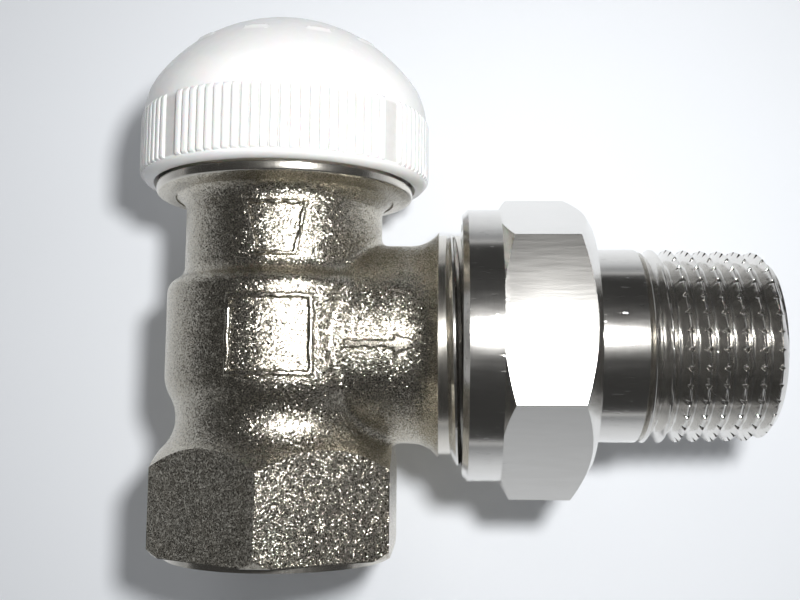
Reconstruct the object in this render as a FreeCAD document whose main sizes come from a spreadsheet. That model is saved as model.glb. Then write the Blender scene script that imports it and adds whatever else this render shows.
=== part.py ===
"""Angle lockshield valve for a radiator, R1/2 tail and Rp1/2 inlet, with its union and cap.

Millimetres, +Z up.  The origin is the middle of the inlet face.  The spindle stands on +Z
and the tail points along +X, tail_height above the inlet face.
"""
import FreeCAD, Part
import math
import os

import Sketcher
from FreeCAD import Placement, Rotation, Vector

DRIVING = {
    # overall layout
    "tail_height": 23.0,
    "body_height": 49.0,
    "branch_reach": 27.2,
    # foot of the body: hexagon with a machined ring under it
    "base_flats": 25.0,
    "base_ring_radius": 12.3,
    "base_ring_height": 0.6,
    "base_edge_bevel": 0.8,
    "base_corner_height": 9.7,
    "base_slope_height": 1.9,
    "base_slope_depth": 1.7,
    # cast outline above the foot
    "waist_radius": 11.45,
    "waist_height": 14.6,
    "belly_radius": 12.75,
    "belly_height": 19.4,
    "shoulder_height": 28.2,
    "neck_radius": 10.95,
    "neck_foot_rise": 3.0,
    "neck_top_height": 37.7,
    "flange_height": 39.4,
    "flange_thickness": 1.3,
    "flange_flare": 2.1,
    "flange_radius": 13.8,
    "flange_lip_width": 0.9,
    "flange_lip_drop": 0.15,
    # branch
    "branch_root": 4.0,
    "branch_radius": 10.9,
    "branch_flare_start": 14.4,
    "branch_flare_end": 17.4,
    "branch_lip_radius": 12.4,
    "branch_flare": 3.8,
    "branch_blend": 1.0,
    "union_root_radius": 12.06,
    "union_crest_radius": 13.22,
    "thread_lead_in": 0.6,
    # waterways
    "inlet_radius": 10.48,
    "inlet_depth": 11.0,
    "inlet_mouth_bevel": 0.4,
    "inlet_taper_length": 3.0,
    "seat_bore_radius": 6.0,
    "seat_lip_radius": 7.4,
    "seat_height": 17.4,
    "seat_lip_height": 1.5,
    "chamber_radius": 9.2,
    "chamber_top_height": 29.8,
    "chamber_slope": 1.2,
    "branch_bore_radius": 7.2,
    # spigot for the cap, and the pocket for the headwork
    "spigot_root_radius": 13.08,
    "spigot_crest_radius": 14.0,
    "spigot_pocket_radius": 11.8,
    "spigot_pocket_depth": 6.0,
    "headwork_bore_radius": 8.0,
    # headwork
    "edge_bevel": 0.4,
    "headwork_fit": 0.05,
    "headwork_reach": 16.0,
    "headwork_flats": 17.0,
    "headwork_flange_radius": 9.7,
    "headwork_flange_thickness": 0.8,
    "headwork_key_height": 4.0,
    "headwork_boss_radius": 7.0,
    "headwork_boss_height": 0.8,
    "headwork_seal_thickness": 1.0,
    "guide_flats": 11.0,
    "guide_depth": 8.0,
    "gland_bore_radius": 5.8,
    # gland
    "gland_nut_flats": 13.0,
    "gland_nut_key_height": 1.6,
    "gland_nut_thread_length": 2.0,
    "thrust_washer_thickness": 0.7,
    "seal_section_radius": 1.15,
    # spindle
    "spindle_radius": 3.4,
    "spindle_fit": 0.06,
    "spindle_collar_radius": 5.6,
    "spindle_collar_thickness": 1.2,
    "spindle_foot_radius": 4.5,
    "spindle_foot_length": 6.0,
    "spindle_stand_out": 0.6,
    "spindle_bore_radius": 2.5,
    "spindle_bore_depth": 8.6,
    "key_socket_flats": 4.0,
    "key_socket_depth": 3.6,
    # plug and its washer
    "plug_fit": 0.12,
    "plug_disc_radius": 8.2,
    "plug_disc_thickness": 2.4,
    "plug_rim_depth": 1.2,
    "plug_neck_radius": 3.9,
    "plug_neck_length": 3.1,
    "plug_guide_length": 6.0,
    "plug_stem_length": 7.8,
    "seat_washer_radius": 7.5,
    "seat_washer_thickness": 2.4,
    "screw_radius": 1.5,
    "screw_length": 5.0,
    "screw_head_radius": 3.2,
    "screw_head_height": 1.7,
    "screw_head_rim": 0.6,
    "screw_head_curve": 1.5,
    "screw_end_gap": 0.5,
    "screw_slot_width": 0.8,
    "screw_slot_depth": 0.8,
    # cap
    "cap_mouth_height": 40.45,
    "cap_skirt_wall": 1.75,
    "cap_mouth_bevel_depth": 1.6,
    "cap_mouth_bevel_height": 1.1,
    "cap_skirt_height": 8.0,
    "cap_crown_height": 10.7,
    "cap_shoulder": 7.5,
    "cap_wall": 1.8,
    "cap_hollow_shoulder": 4.6,
    "cap_fit": 0.1,
    "cap_gasket_thickness": 1.0,
    "cap_gasket_fit": 0.2,
    "cap_ledge_width": 1.5,
    "rib_count_per_group": 24,
    "rib_pitch_angle": 3.5,
    "rib_width": 0.72,
    "rib_height": 0.27,
    "rib_tip_share": 0.55,
    "rib_root_depth": 0.4,
    "rib_foot_height": 2.1,
    "rib_length": 6.0,
    "rib_end_slope": 0.6,
    # union nut
    "nut_flats": 29.0,
    "nut_length": 13.5,
    "nut_collar_radius": 14.87,
    "nut_collar_length": 4.0,
    "nut_collar_bevel": 0.6,
    "nut_front_bevel_length": 1.0,
    "nut_back_bevel_length": 2.0,
    "nut_back_bevel_depth": 3.2,
    "nut_back_thickness": 2.2,
    "nut_fit": 0.05,
    "nut_hole_fit": 0.25,
    "nut_turn_angle": -7.0,
    # tailpiece
    "tail_seal_thickness": 2.0,
    "tail_seal_fit": 0.3,
    "tail_collar_radius": 11.85,
    "tail_collar_thickness": 1.95,
    "tail_shank_radius": 10.55,
    "tail_shank_length": 7.2,
    "tail_thread_radius": 10.4775,
    "tail_thread_length": 12.7,
    "tail_relief_width": 0.6,
    "tail_relief_depth": 0.6,
    "tail_end_bevel_length": 1.1,
    "tail_end_bevel_depth": 1.3,
    "tail_bore_radius": 7.6,
    "tail_lug_height": 1.2,
    "tail_lug_width": 2.6,
    "tail_lug_length": 8.0,
    "tail_lug_root": 0.4,
}

document = FreeCAD.newDocument("lockshield_valve")
sheet = document.addObject("Spreadsheet::Sheet", "Sizes")
for row, (alias, value) in enumerate(DRIVING.items(), start=1):
    sheet.set(f"A{row}", alias)
    sheet.set(f"B{row}", str(value))
    sheet.setAlias(f"B{row}", alias)
document.recompute()


class Size:
    """A length worked out from the sheet's cells: its value now, and the text that binds it."""

    def __init__(self, value, text):
        self.value = float(value)
        self.text = text

    @staticmethod
    def of(thing):
        return thing if isinstance(thing, Size) else Size(thing, f"{float(thing):.9g}")

    def __add__(self, other):
        other = Size.of(other)
        return Size(self.value + other.value, f"({self.text} + {other.text})")

    def __sub__(self, other):
        other = Size.of(other)
        return Size(self.value - other.value, f"({self.text} - {other.text})")

    def __mul__(self, other):
        other = Size.of(other)
        return Size(self.value * other.value, f"({self.text} * {other.text})")

    def __truediv__(self, other):
        other = Size.of(other)
        return Size(self.value / other.value, f"({self.text} / {other.text})")

    def __neg__(self):
        return Size(-self.value, f"(0 - {self.text})")

    def __radd__(self, other):
        return Size.of(other) + self

    def __rsub__(self, other):
        return Size.of(other) - self

    __rmul__ = __mul__


class Sheet:
    """The sheet's cells by name, as sizes."""

    def __getattr__(self, alias):
        return Size(DRIVING[alias], f"Sizes.{alias}")


of = Sheet()
ZERO = Size.of(0)
PAST = Size.of(1)  # how far a cut runs past the metal that it removes


def bind(thing, where, length):
    """Tie one property to the sheet."""
    thing.setExpression(where, Size.of(length).text)


def sub_part(label, lift=0, reach=0, along_tail=False, turned=None):
    """A new body, placed on the spindle axis, or along the tail's axis when along_tail is set."""
    body = document.addObject("PartDesign::Body", label)
    body.Label = label
    if along_tail:
        body.Placement = Placement(Vector(0, 0, 0), Rotation(Vector(0, 1, 0), 90))
        bind(body, "Placement.Base.x", reach)
        bind(body, "Placement.Base.z", of.tail_height)
        if turned is not None:
            spin = Rotation(Vector(0, 0, 1), turned.value)
            body.Placement = Placement(Vector(0, 0, 0), body.Placement.Rotation * spin)
    else:
        bind(body, "Placement.Base.z", lift)
    return body


def origin_plane(body, role):
    return [plane for plane in body.Origin.OriginFeatures if plane.Role == role][0]


def arc_between(start, end, radius):
    """The short arc from start to end; its centre is on the left for a positive radius."""
    middle = (start + end) * 0.5
    chord = end - start
    left = Vector(-chord.y, chord.x, 0).normalize()
    rise = math.sqrt(max(radius * radius - chord.Length**2 / 4, 0))
    centre = middle + left * (rise if radius > 0 else -rise)
    first, last = (start, end) if radius > 0 else (end, start)
    circle = Part.Circle(centre, Vector(0, 0, 1), abs(radius))
    first_angle = math.atan2(first.y - centre.y, first.x - centre.x)
    last_angle = math.atan2(last.y - centre.y, last.x - centre.x)
    return Part.ArcOfCircle(circle, first_angle, last_angle)


def new_sketch(body, name, role="XZ_Plane", lift=None):
    sketch = body.newObject("Sketcher::SketchObject", name)
    sketch.AttachmentSupport = [(origin_plane(body, role), "")]
    sketch.MapMode = "FlatFace"
    if lift is not None:
        bind(sketch, "AttachmentOffset.Base." + ("z" if role == "XY_Plane" else "y"), lift)
    return sketch


def draw(sketch, outline):
    """Draw a closed outline of corners: (across, up), or (across, up, radius) where an arc follows."""
    corners = [(Size.of(corner[0]), Size.of(corner[1])) for corner in outline]
    points = [Vector(across.value, up.value, 0) for across, up in corners]
    ends = []
    for index, corner in enumerate(outline):
        start, end = points[index], points[(index + 1) % len(points)]
        if len(corner) == 3:
            radius = Size.of(corner[2])
            geometry = sketch.addGeometry(arc_between(start, end, radius.value), False)
            ends.append((geometry, 1, 2) if radius.value > 0 else (geometry, 2, 1))
            size = sketch.addConstraint(Sketcher.Constraint("Radius", geometry, abs(radius.value)))
            bind(sketch, f"Constraints[{size}]", radius if radius.value > 0 else -radius)
        else:
            geometry = sketch.addGeometry(Part.LineSegment(start, end), False)
            ends.append((geometry, 1, 2))
    for index, (across, up) in enumerate(corners):
        geometry, start, _ = ends[index]
        before, _, finish = ends[index - 1]
        sketch.addConstraint(Sketcher.Constraint("Coincident", before, finish, geometry, start))
        for axis, length in (("DistanceX", across), ("DistanceY", up)):
            held = sketch.addConstraint(Sketcher.Constraint(axis, geometry, start, length.value))
            bind(sketch, f"Constraints[{held}]", length)


def turn(body, name, outline, cut=False, lift=None, axis="V_Axis"):
    """Turn a half outline about the piece's axis, to add it or to cut it away."""
    sketch = new_sketch(body, name + "_outline", lift=lift)
    draw(sketch, outline)
    feature = body.newObject("PartDesign::Groove" if cut else "PartDesign::Revolution", name)
    feature.Profile = sketch
    feature.ReferenceAxis = (sketch, [axis])
    feature.Angle = 360
    document.recompute()
    return feature


def quarter_bend(start_across, start_up, end_across, end_up):
    """Radius of the arc that leaves a slope at the start and runs upright at the end."""
    across = start_across - end_across
    up = end_up - start_up
    return (across * across + up * up) / (across * 2)


def swell(start_across, start_up, end_across, end_up):
    """Two equal arcs from one upright wall to another, with no corner where they meet."""
    across = end_across - start_across
    up = end_up - start_up
    radius = (across * across + up * up) / (across * 4)
    middle = ((start_across + end_across) / 2, (start_up + end_up) / 2, radius)
    return [(start_across, start_up, -radius), middle]


def hexagon(flats, first_corner=0):
    """Corners of a hexagon with the given width over its flats, the first at an angle from +X."""
    reach = Size.of(flats) / math.sqrt(3)
    angles = [math.radians(first_corner + 60 * k) for k in range(6)]
    return [(reach * math.cos(angle), reach * math.sin(angle)) for angle in angles]


def prism(body, name, outline, start, length, cut=False, around=None):
    """Push an outline upwards from start. A cut with around set keeps the outline and trims outside it."""
    sketch = new_sketch(body, name + "_outline", role="XY_Plane", lift=start)
    draw(sketch, outline)
    if around is not None:
        ring = sketch.addGeometry(Part.Circle(Vector(0, 0, 0), Vector(0, 0, 1), around.value), False)
        sketch.addConstraint(Sketcher.Constraint("Coincident", ring, 3, -1, 1))
        held = sketch.addConstraint(Sketcher.Constraint("Radius", ring, around.value))
        bind(sketch, f"Constraints[{held}]", around)
    feature = body.newObject("PartDesign::Pocket" if cut else "PartDesign::Pad", name)
    feature.Profile = sketch
    feature.Length = Size.of(length).value
    bind(feature, "Length", length)
    feature.Reversed = cut
    document.recompute()
    return feature


def ring(label, inner, outer, thickness, **place):
    """A flat ring."""
    body = sub_part(label, **place)
    turn(body, label + "_ring", [(inner, 0), (outer, 0), (outer, thickness), (inner, thickness)])
    return body


def o_ring(label, radius, section, lift):
    """A round-section ring around the spindle, lift to its middle."""
    torus = document.addObject("Part::Torus", label)
    torus.Label = label
    bind(torus, "Radius1", radius)
    bind(torus, "Radius2", section)
    bind(torus, "Placement.Base.z", lift)
    return torus


# ---------------------------------------------------------------------------------------------
# Levels on the spindle axis and on the tail's axis, each worked out once
# ---------------------------------------------------------------------------------------------
base_corner = of.base_flats / math.sqrt(3)
neck_foot = of.shoulder_height + of.neck_foot_rise
cap_radius = of.spigot_crest_radius + of.cap_fit + of.cap_skirt_wall
pocket_floor = of.body_height - of.spigot_pocket_depth
headwork_seat = pocket_floor + of.headwork_seal_thickness
headwork_top = (
    headwork_seat + of.headwork_flange_thickness + of.headwork_key_height + of.headwork_boss_height
)
seal_pitch = of.seal_section_radius * 2 + of.spindle_fit
upper_seal_level = headwork_top - of.gland_nut_thread_length - of.spindle_fit - of.seal_section_radius
lower_seal_level = upper_seal_level - seal_pitch
washer_top = lower_seal_level - of.seal_section_radius - of.spindle_fit
collar_top = washer_top - of.thrust_washer_thickness - of.spindle_fit
collar_foot = collar_top - of.spindle_collar_thickness
gland_floor = collar_foot - of.spindle_fit
spindle_top = headwork_top + of.gland_nut_key_height + of.spindle_stand_out
plug_seat = of.seat_height + of.seat_washer_thickness
nut_start = of.branch_reach + of.tail_seal_thickness + of.tail_collar_thickness + of.nut_fit
nut_start = nut_start + of.nut_back_thickness - of.nut_length
tail_start = of.branch_reach + of.tail_seal_thickness


def make_valve_body():
    """The casting: hexagon foot, waist, belly, neck, flange and spigot, with the branch blended in."""
    body = sub_part("valve_body")
    slope_top = of.base_corner_height + of.base_slope_height
    slope_radius = base_corner - of.base_slope_depth
    foot_bend = quarter_bend(slope_radius, slope_top, of.waist_radius, of.waist_height)
    flange_top = of.flange_height + of.flange_thickness
    cast = [
        (0, 0),
        (of.base_ring_radius, 0),
        (of.base_ring_radius, of.base_ring_height),
        (base_corner - of.base_edge_bevel, of.base_ring_height),
        (base_corner, of.base_ring_height + of.base_edge_bevel),
        (base_corner, of.base_corner_height),
        (slope_radius, slope_top, -foot_bend),
        *swell(of.waist_radius, of.waist_height, of.belly_radius, of.belly_height),
        (of.belly_radius, of.belly_height),
        *swell(of.belly_radius, of.shoulder_height, of.neck_radius, neck_foot),
        (of.neck_radius, neck_foot),
        (of.neck_radius, of.neck_top_height, -of.flange_flare),
        (of.flange_radius - of.flange_lip_width, of.flange_height - of.flange_lip_drop),
        (of.flange_radius, of.flange_height),
        (of.flange_radius, flange_top),
        (of.spigot_root_radius, flange_top),
        (of.spigot_root_radius, of.body_height - of.thread_lead_in),
        (of.spigot_root_radius - of.thread_lead_in, of.body_height),
        (0, of.body_height),
    ]
    turn(body, "cast_outline", cast)
    prism(
        body,
        "foot_flats",
        hexagon(of.base_flats, first_corner=30),
        ZERO,
        of.waist_height,
        cut=True,
        around=base_corner + PAST,
    )
    bore_limit = of.branch_reach - of.thread_lead_in
    branch = [
        (of.branch_root, 0),
        (of.branch_reach, 0),
        (of.branch_reach, of.union_root_radius - of.thread_lead_in),
        (bore_limit, of.union_root_radius),
        (of.branch_flare_end, of.union_root_radius),
        (of.branch_flare_end, of.branch_lip_radius, -of.branch_flare),
        (of.branch_flare_start, of.branch_radius),
        (of.branch_root, of.branch_radius),
    ]
    turn(body, "branch", branch, lift=of.tail_height, axis="H_Axis")
    blend_branch(body)
    chamber_floor = of.seat_height - of.seat_lip_height
    taper_top = of.inlet_depth + of.inlet_taper_length
    waterway = [
        (0, -PAST),
        (of.inlet_radius + of.inlet_mouth_bevel + PAST, -PAST),
        (of.inlet_radius, of.inlet_mouth_bevel),
        (of.inlet_radius, of.inlet_depth),
        (of.seat_bore_radius, taper_top),
        (of.seat_bore_radius, of.seat_height),
        (of.seat_lip_radius, of.seat_height),
        (of.seat_lip_radius, chamber_floor),
        (of.chamber_radius, chamber_floor),
        (of.chamber_radius, of.chamber_top_height),
        (of.headwork_bore_radius, of.chamber_top_height + of.chamber_slope),
        (of.headwork_bore_radius, pocket_floor),
        (of.spigot_pocket_radius, pocket_floor),
        (of.spigot_pocket_radius, of.body_height + PAST),
        (0, of.body_height + PAST),
    ]
    turn(body, "waterway", waterway, cut=True)
    branch_bore = [
        (of.seat_lip_radius, 0),
        (of.branch_reach + PAST, 0),
        (of.branch_reach + PAST, of.branch_bore_radius),
        (of.seat_lip_radius, of.branch_bore_radius),
    ]
    turn(body, "branch_bore", branch_bore, cut=True, lift=of.tail_height, axis="H_Axis")
    return body


def blend_branch(body):
    """Round the corner all along the line where the branch meets the casting."""
    branch = body.Tip
    foot_top = (of.base_corner_height + of.base_slope_height).value
    edges = []
    for number, edge in enumerate(branch.Shape.Edges, start=1):
        box = edge.BoundBox
        beside = box.XMin > of.branch_root.value and box.XMax < of.branch_flare_start.value
        between = box.ZMin > foot_top + 0.1 and box.ZMax < of.neck_top_height.value
        level = min(box.YLength, box.ZLength) < 0.01
        if beside and between and not level:
            edges.append(f"Edge{number}")
    blend = body.newObject("PartDesign::Fillet", "branch_blend")
    blend.Base = (branch, edges)
    blend.Radius = of.branch_blend.value
    bind(blend, "Radius", of.branch_blend)
    document.recompute()
    return blend


def make_headwork():
    """The insert that screws into the neck, guides the plug and holds the gland."""
    body = sub_part("headwork", lift=headwork_seat)
    key_foot = of.headwork_flange_thickness
    key_top = key_foot + of.headwork_key_height
    top = key_top + of.headwork_boss_height
    thread = of.headwork_bore_radius - of.headwork_fit
    corner = of.headwork_flats / math.sqrt(3)
    bevel = of.edge_bevel
    outline = [
        (0, -of.headwork_reach),
        (thread - bevel, -of.headwork_reach),
        (thread, -of.headwork_reach + bevel),
        (thread, 0),
        (of.headwork_flange_radius, 0),
        (of.headwork_flange_radius, key_foot),
        (corner, key_foot),
        (corner, key_top - bevel),
        (of.headwork_boss_radius + bevel, key_top),
        (of.headwork_boss_radius, key_top),
        (of.headwork_boss_radius, top),
        (0, top),
    ]
    turn(body, "headwork_outline", outline)
    prism(
        body,
        "key_flats",
        hexagon(of.headwork_flats),
        key_foot,
        of.headwork_key_height,
        cut=True,
        around=corner + PAST,
    )
    gland_depth = headwork_top - gland_floor
    foot_bore = of.spindle_foot_radius + of.spindle_fit
    bore = [
        (0, -of.headwork_reach + of.guide_depth / 2),
        (foot_bore, -of.headwork_reach + of.guide_depth / 2),
        (foot_bore, top - gland_depth),
        (of.gland_bore_radius, top - gland_depth),
        (of.gland_bore_radius, top + PAST),
        (0, top + PAST),
    ]
    turn(body, "spindle_bore", bore, cut=True)
    prism(
        body,
        "plug_guide",
        hexagon(of.guide_flats),
        -of.headwork_reach - PAST,
        of.guide_depth + PAST,
        cut=True,
    )
    return body


def make_gland_nut():
    """The small nut that holds the seals and the spindle's collar down."""
    body = sub_part("gland_nut", lift=headwork_top)
    bore = of.spindle_radius + of.spindle_fit
    corner = of.gland_nut_flats / math.sqrt(3)
    thread = of.gland_bore_radius - of.headwork_fit
    bevel = of.edge_bevel
    outline = [
        (bore, -of.gland_nut_thread_length),
        (thread, -of.gland_nut_thread_length),
        (thread, 0),
        (corner, 0),
        (corner, of.gland_nut_key_height - bevel),
        (corner - bevel * 2, of.gland_nut_key_height),
        (bore, of.gland_nut_key_height),
    ]
    turn(body, "gland_outline", outline)
    prism(
        body,
        "gland_flats",
        hexagon(of.gland_nut_flats),
        ZERO,
        of.gland_nut_key_height,
        cut=True,
        around=corner + PAST,
    )
    return body


def make_drive_spindle():
    """The turning spindle: a key socket on top, a collar, and a threaded bore for the plug's stem."""
    body = sub_part("drive_spindle", lift=collar_foot)
    top = spindle_top - collar_foot
    bevel = of.edge_bevel
    outline = [
        (0, -of.spindle_foot_length),
        (of.spindle_foot_radius, -of.spindle_foot_length),
        (of.spindle_foot_radius, 0),
        (of.spindle_collar_radius, 0),
        (of.spindle_collar_radius, of.spindle_collar_thickness),
        (of.spindle_radius, of.spindle_collar_thickness),
        (of.spindle_radius, top - bevel),
        (of.spindle_radius - bevel, top),
        (0, top),
    ]
    turn(body, "spindle_outline", outline)
    bore_top = of.spindle_bore_depth - of.spindle_foot_length
    bore = [
        (0, -of.spindle_foot_length - PAST),
        (of.spindle_bore_radius, -of.spindle_foot_length - PAST),
        (of.spindle_bore_radius, bore_top),
        (0, bore_top + of.spindle_bore_radius / 2),
    ]
    turn(body, "stem_bore", bore, cut=True)
    prism(
        body,
        "key_socket",
        hexagon(of.key_socket_flats),
        top - of.key_socket_depth,
        of.key_socket_depth + PAST,
        cut=True,
    )
    return body


def make_plug():
    """The rising plug: washer cup, neck, hexagon guide and threaded stem."""
    body = sub_part("plug", lift=plug_seat)
    guide_foot = of.plug_disc_thickness + of.plug_neck_length
    guide_top = guide_foot + of.plug_guide_length
    stem_top = guide_top + of.plug_stem_length
    stem = of.spindle_bore_radius - of.spindle_fit
    cup = of.seat_washer_radius + of.plug_fit
    outline = [
        (0, 0),
        (cup, 0),
        (cup, -of.plug_rim_depth),
        (of.plug_disc_radius, -of.plug_rim_depth),
        (of.plug_disc_radius, of.plug_disc_thickness / 2),
        (of.plug_neck_radius, of.plug_disc_thickness),
        (of.plug_neck_radius, guide_foot + PAST),
        (0, guide_foot + PAST),
    ]
    turn(body, "cup_and_neck", outline)
    guide = of.guide_flats - of.plug_fit * 2
    prism(body, "guide", hexagon(guide), guide_foot, of.plug_guide_length)
    bevel = of.edge_bevel
    threaded = [
        (0, guide_top - PAST),
        (stem, guide_top - PAST),
        (stem, stem_top - bevel),
        (stem - bevel, stem_top),
        (0, stem_top),
    ]
    turn(body, "stem", threaded)
    hole = [
        (0, -PAST),
        (of.screw_radius, -PAST),
        (of.screw_radius, of.screw_length),
        (0, of.screw_length + of.screw_radius / 2),
    ]
    turn(body, "screw_hole", hole, cut=True)
    return body


def make_washer_screw():
    """The slotted screw that holds the seat washer in its cup."""
    body = sub_part("washer_screw", lift=of.seat_height)
    shank = of.screw_radius - of.headwork_fit
    length = of.seat_washer_thickness + of.screw_length - of.screw_end_gap
    rim = of.screw_head_rim
    outline = [
        (0, -of.screw_head_height),
        (of.screw_head_radius - rim, -of.screw_head_height, of.screw_head_curve),
        (of.screw_head_radius, -rim),
        (of.screw_head_radius, 0),
        (shank, 0),
        (shank, length),
        (0, length),
    ]
    turn(body, "screw_outline", outline)
    half = of.screw_slot_width / 2
    reach = of.screw_head_radius + PAST
    slot = [(-reach, -half), (reach, -half), (reach, half), (-reach, half)]
    prism(
        body,
        "screw_slot",
        slot,
        -of.screw_head_height - PAST,
        of.screw_slot_depth + PAST,
        cut=True,
    )
    return body


def make_cap():
    """The moulded cap: bevelled mouth, skirt with four groups of grip ribs, and a rounded crown."""
    body = sub_part("cap", lift=of.cap_mouth_height)
    skirt_top = of.cap_skirt_height
    crown_top = skirt_top + of.cap_crown_height
    bore = of.spigot_crest_radius + of.cap_fit
    ledge = of.body_height + of.cap_gasket_thickness - of.cap_mouth_height
    inner = bore - of.cap_ledge_width
    inner_top = crown_top - of.cap_wall
    crown = crown_arcs(cap_radius, skirt_top, crown_top, of.cap_shoulder)
    hollow = crown_arcs(inner, ledge, inner_top, of.cap_hollow_shoulder)
    outline = [
        (bore, 0),
        (cap_radius - of.cap_mouth_bevel_depth, 0),
        (cap_radius, of.cap_mouth_bevel_height),
        *crown,
        *reversed_arcs(hollow),
        (bore, ledge),
    ]
    turn(body, "shell", outline)
    foot = cap_radius - of.rib_root_depth
    tip = cap_radius + of.rib_height
    half = of.rib_width / 2
    half_tip = half * of.rib_tip_share
    rib = [(foot, -half), (tip, -half_tip), (tip, half_tip), (foot, half)]
    first_rib = prism(body, "grip_rib", rib, of.rib_foot_height, of.rib_length)
    group_span = (of.rib_count_per_group - 1) * of.rib_pitch_angle
    along = body.newObject("PartDesign::PolarPattern", "ribs_in_group")
    along.Axis = (first_rib.Profile[0], ["N_Axis"])
    along.Angle = group_span.value
    bind(along, "Angle", group_span)
    along.Occurrences = int(of.rib_count_per_group.value)
    bind(along, "Occurrences", of.rib_count_per_group)
    around = body.newObject("PartDesign::PolarPattern", "groups")
    around.Axis = (first_rib.Profile[0], ["N_Axis"])
    around.Angle = 360
    around.Occurrences = 4
    ribs = body.newObject("PartDesign::MultiTransform", "grip_ribs")
    ribs.Originals = [first_rib]
    ribs.Transformations = [along, around]
    body.Tip = ribs
    document.recompute()
    rib_top = of.rib_foot_height + of.rib_length
    trim = [
        (cap_radius + of.rib_height / 5, rib_top + PAST),
        (cap_radius + of.rib_height / 5, rib_top),
        (tip + of.rib_height, rib_top - of.rib_end_slope),
        (tip + of.rib_height, rib_top + PAST),
    ]
    turn(body, "rib_ends", trim, cut=True)
    offset = 45 + (90 - group_span.value) / 2
    body.Placement = Placement(body.Placement.Base, Rotation(Vector(0, 0, 1), offset))
    return body


def crown_arcs(radius, foot, top, shoulder):
    """A crown of two arcs: a shoulder that leaves the wall upright, and a wide arc over the middle."""
    height = top - foot
    inset = radius - shoulder
    wide = (inset * inset + height * height - shoulder * shoulder) / ((height - shoulder) * 2)
    share = shoulder / (wide - shoulder)
    return [
        (radius, foot, shoulder),
        (inset + inset * share, foot + (wide - height) * share, wide),
        (0, top),
    ]


def reversed_arcs(arcs):
    """The same run of arcs from its end to its start."""
    back = []
    for index in range(len(arcs) - 1, -1, -1):
        across, up = arcs[index][0], arcs[index][1]
        if index > 0:
            back.append((across, up, -Size.of(arcs[index - 1][2])))
        else:
            back.append((across, up))
    return back


def make_union_nut():
    """The union nut: round collar and hexagon, open thread in front and a shoulder at the back."""
    body = sub_part("union_nut", reach=nut_start, along_tail=True, turned=of.nut_turn_angle)
    corner = of.nut_flats / math.sqrt(3)
    thread = of.union_crest_radius + of.nut_fit
    hole = of.tail_shank_radius + of.nut_hole_fit
    back = of.nut_length - of.nut_back_thickness
    outline = [
        (thread, 0),
        (of.nut_collar_radius - of.nut_collar_bevel, 0),
        (of.nut_collar_radius, of.nut_collar_bevel),
        (of.nut_collar_radius, of.nut_collar_length),
        (corner, of.nut_collar_length + of.nut_front_bevel_length),
        (corner, of.nut_length - of.nut_back_bevel_length),
        (corner - of.nut_back_bevel_depth, of.nut_length),
        (hole, of.nut_length),
        (hole, back),
        (thread, back),
    ]
    turn(body, "nut_outline", outline)
    prism(
        body,
        "nut_flats",
        hexagon(of.nut_flats),
        of.nut_collar_length,
        of.nut_length - of.nut_collar_length,
        cut=True,
        around=corner + PAST,
    )
    return body


def make_tailpiece():
    """The tail: collar behind the nut, shank, taper-thread cylinder and two key lugs in the bore."""
    body = sub_part("tailpiece", reach=tail_start, along_tail=True)
    collar = of.tail_collar_thickness
    shank = collar + of.tail_shank_length
    relief = shank + of.tail_relief_width
    end = shank + of.tail_relief_width / 2 + of.tail_thread_length + of.tail_end_bevel_length
    bore = of.tail_bore_radius
    bevel = of.edge_bevel
    outline = [
        (bore, 0),
        (of.tail_collar_radius - bevel, 0),
        (of.tail_collar_radius, bevel),
        (of.tail_collar_radius, collar),
        (of.tail_shank_radius, collar),
        (of.tail_shank_radius, shank),
        (of.tail_thread_radius - of.tail_relief_depth, shank + of.tail_relief_width / 2),
        (of.tail_thread_radius, relief),
        (of.tail_thread_radius, end - of.tail_end_bevel_length),
        (of.tail_thread_radius - of.tail_end_bevel_depth, end),
        (bore, end),
    ]
    turn(body, "tail_outline", outline)
    half = of.tail_lug_width / 2
    for name, side in (("first_lug", 1), ("second_lug", -1)):
        inner = side * (bore - of.tail_lug_height)
        outer = side * (bore + of.tail_lug_root)
        lug = [(inner, -half), (outer, -half), (outer, half), (inner, half)]
        prism(body, name, lug, collar, of.tail_lug_length)
    return body


def make_all():
    """Every piece, in the order in which the valve is put together."""
    shaft = of.spindle_radius + of.spindle_fit
    sealed = shaft + of.seal_section_radius
    seal_outer = of.gland_bore_radius - of.headwork_fit
    return [
        make_valve_body(),
        ring(
            "headwork_seal",
            of.headwork_bore_radius + of.headwork_fit,
            of.headwork_flange_radius,
            of.headwork_seal_thickness,
            lift=pocket_floor,
        ),
        make_headwork(),
        make_drive_spindle(),
        ring(
            "thrust_washer",
            shaft,
            seal_outer,
            of.thrust_washer_thickness,
            lift=collar_top + of.spindle_fit,
        ),
        o_ring("spindle_seal_lower", sealed, of.seal_section_radius, lower_seal_level),
        o_ring("spindle_seal_upper", sealed, of.seal_section_radius, upper_seal_level),
        make_gland_nut(),
        make_plug(),
        ring(
            "seat_washer",
            of.screw_radius + of.headwork_fit,
            of.seat_washer_radius,
            of.seat_washer_thickness,
            lift=of.seat_height,
        ),
        make_washer_screw(),
        ring(
            "cap_gasket",
            of.spigot_pocket_radius,
            of.spigot_crest_radius - of.cap_gasket_fit,
            of.cap_gasket_thickness,
            lift=of.body_height,
        ),
        make_cap(),
        ring(
            "tail_seal",
            of.branch_bore_radius + of.tail_seal_fit,
            of.tail_collar_radius,
            of.tail_seal_thickness,
            reach=of.branch_reach,
            along_tail=True,
        ),
        make_tailpiece(),
        make_union_nut(),
    ]


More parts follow.
